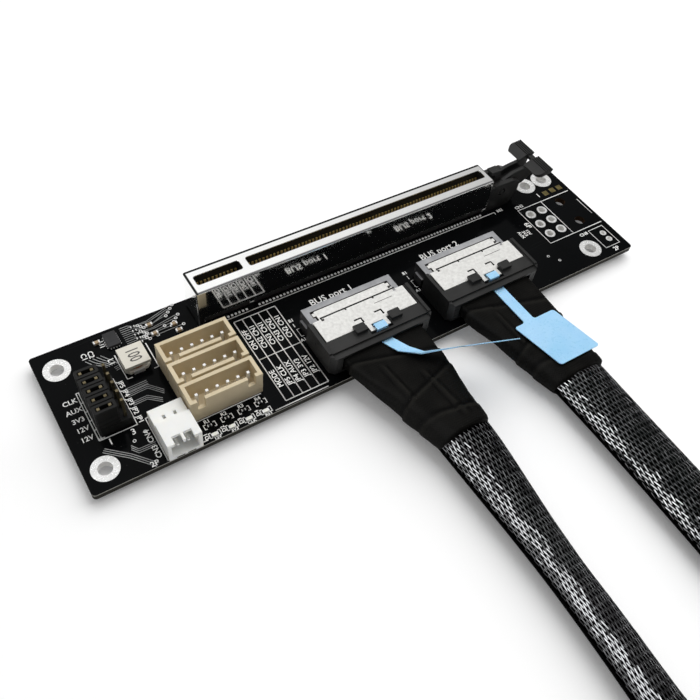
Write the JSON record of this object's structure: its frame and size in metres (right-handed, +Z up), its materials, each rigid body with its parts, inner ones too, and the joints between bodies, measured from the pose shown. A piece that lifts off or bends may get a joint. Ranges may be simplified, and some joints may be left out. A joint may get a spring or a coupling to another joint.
{
  "type": "pcie extension cable",
  "caption": "Slot board of a PCIe extension cable: shielded card slot with retention latch, power headers, jumpers and latched, sleeved signal cables.",
  "frame": {"origin": "middle of the four mounting holes, on the underside of the circuit board", "axes": "+X along the card slot towards its latch, +Y from the cable side to the slot side, +Z up out of the component side"},
  "size_m": [0.1556, 0.3045, 0.0191],
  "materials": {
    "solder_mask": "black solder mask, semi-gloss",
    "tin": "tinned copper",
    "black_plastic": "fine matt moulding",
    "socket_plastic": "smooth moulding",
    "shield_steel": "bright plated sheet",
    "gold": "gold plating",
    "white_plastic": "white nylon",
    "beige_plastic": "natural nylon",
    "ferrite": "pale grey lacquer on ferrite",
    "copper": "enamelled wire",
    "chip_black": "moulded epoxy",
    "ceramic": "ceramic",
    "lamp_white": "clear white lens",
    "latch_steel": "matt stainless sheet",
    "blue_film": "light blue film",
    "black_tape": "cloth tape",
    "braid": "braided sleeve"
  },
  "bodies": {
    "board": {"circuit_board": "solder_mask", "mounting_hole_lands": "tin", "slot_housing": "black_plastic", "slot_shield": "shield_steel", "slot_contacts_front": "gold", "slot_contacts_back": "gold", "side_header": "white_plastic", "side_header_pins": "tin", "jumper_header": "black_plastic", "jumper_pins": "tin", "inductor_core": "ferrite", "inductor_winding": "copper", "inductor_terminals": "tin", "control_chip": "chip_black", "control_chip_leads": "tin", "chip_resistors": "chip_black", "chip_capacitors": "ceramic", "chip_terminals": "tin", "indicator_lights": "lamp_white", "power_header_1": "beige_plastic", "power_header_pins_1": "tin", "power_header_2": "beige_plastic", "power_header_pins_2": "tin", "power_header_3": "beige_plastic", "power_header_pins_3": "tin", "jumper_cap_1": "black_plastic", "jumper_cap_2": "black_plastic", "jumper_cap_3": "black_plastic", "jumper_cap_4": "black_plastic", "jumper_cap_5": "black_plastic", "cable_socket_1": "socket_plastic", "socket_contacts_1": "gold", "plug_housing_1": "black_plastic", "far_plug_housing_1": "black_plastic", "paddle_card_1": "solder_mask", "far_paddle_card_1": "solder_mask", "pull_tab_1": "blue_film", "far_pull_tab_1": "blue_film", "tape_wrap_1": "black_tape", "far_tape_wrap_1": "black_tape", "cable_sleeve_1": "braid", "cable_socket_2": "socket_plastic", "socket_contacts_2": "gold", "plug_housing_2": "black_plastic", "far_plug_housing_2": "black_plastic", "paddle_card_2": "solder_mask", "far_paddle_card_2": "solder_mask", "pull_tab_2": "blue_film", "far_pull_tab_2": "blue_film", "tape_wrap_2": "black_tape", "far_tape_wrap_2": "black_tape", "cable_sleeve_2": "braid"},
    "slot_latch": {"slot_latch": "black_plastic"},
    "plug_latch_1": {"plug_latch_1": "latch_steel"},
    "far_plug_latch_1": {"far_plug_latch_1": "latch_steel"},
    "plug_latch_2": {"plug_latch_2": "latch_steel"},
    "far_plug_latch_2": {"far_plug_latch_2": "latch_steel"}
  },
  "joints": [
    {"name": "slot_latch_hinge", "type": "hinge", "parent": "board", "child": "slot_latch", "pos_m": [0.05655, 0.01465, 0.0071], "axis": [0, 1, 0], "range_deg": [0, 25]},
    {"name": "plug_latch_hinge_1", "type": "hinge", "parent": "board", "child": "plug_latch_1", "pos_m": [-0.002, -0.0118, 0.008], "axis": [-1, 0, 0], "range_deg": [0, 6], "stiffness_Nm_per_rad": 0.05},
    {"name": "far_plug_latch_hinge_1", "type": "hinge", "parent": "board", "child": "far_plug_latch_1", "pos_m": [0.002, -0.2722, 0.0043], "axis": [1, 0, 0], "range_deg": [0, 6], "stiffness_Nm_per_rad": 0.05},
    {"name": "plug_latch_hinge_2", "type": "hinge", "parent": "board", "child": "plug_latch_2", "pos_m": [0.0321, -0.0118, 0.008], "axis": [-1, 0, 0], "range_deg": [0, 6], "stiffness_Nm_per_rad": 0.05},
    {"name": "far_plug_latch_hinge_2", "type": "hinge", "parent": "board", "child": "far_plug_latch_2", "pos_m": [0.0375, -0.2722, 0.0043], "axis": [1, 0, 0], "range_deg": [0, 6], "stiffness_Nm_per_rad": 0.05}
  ]
}
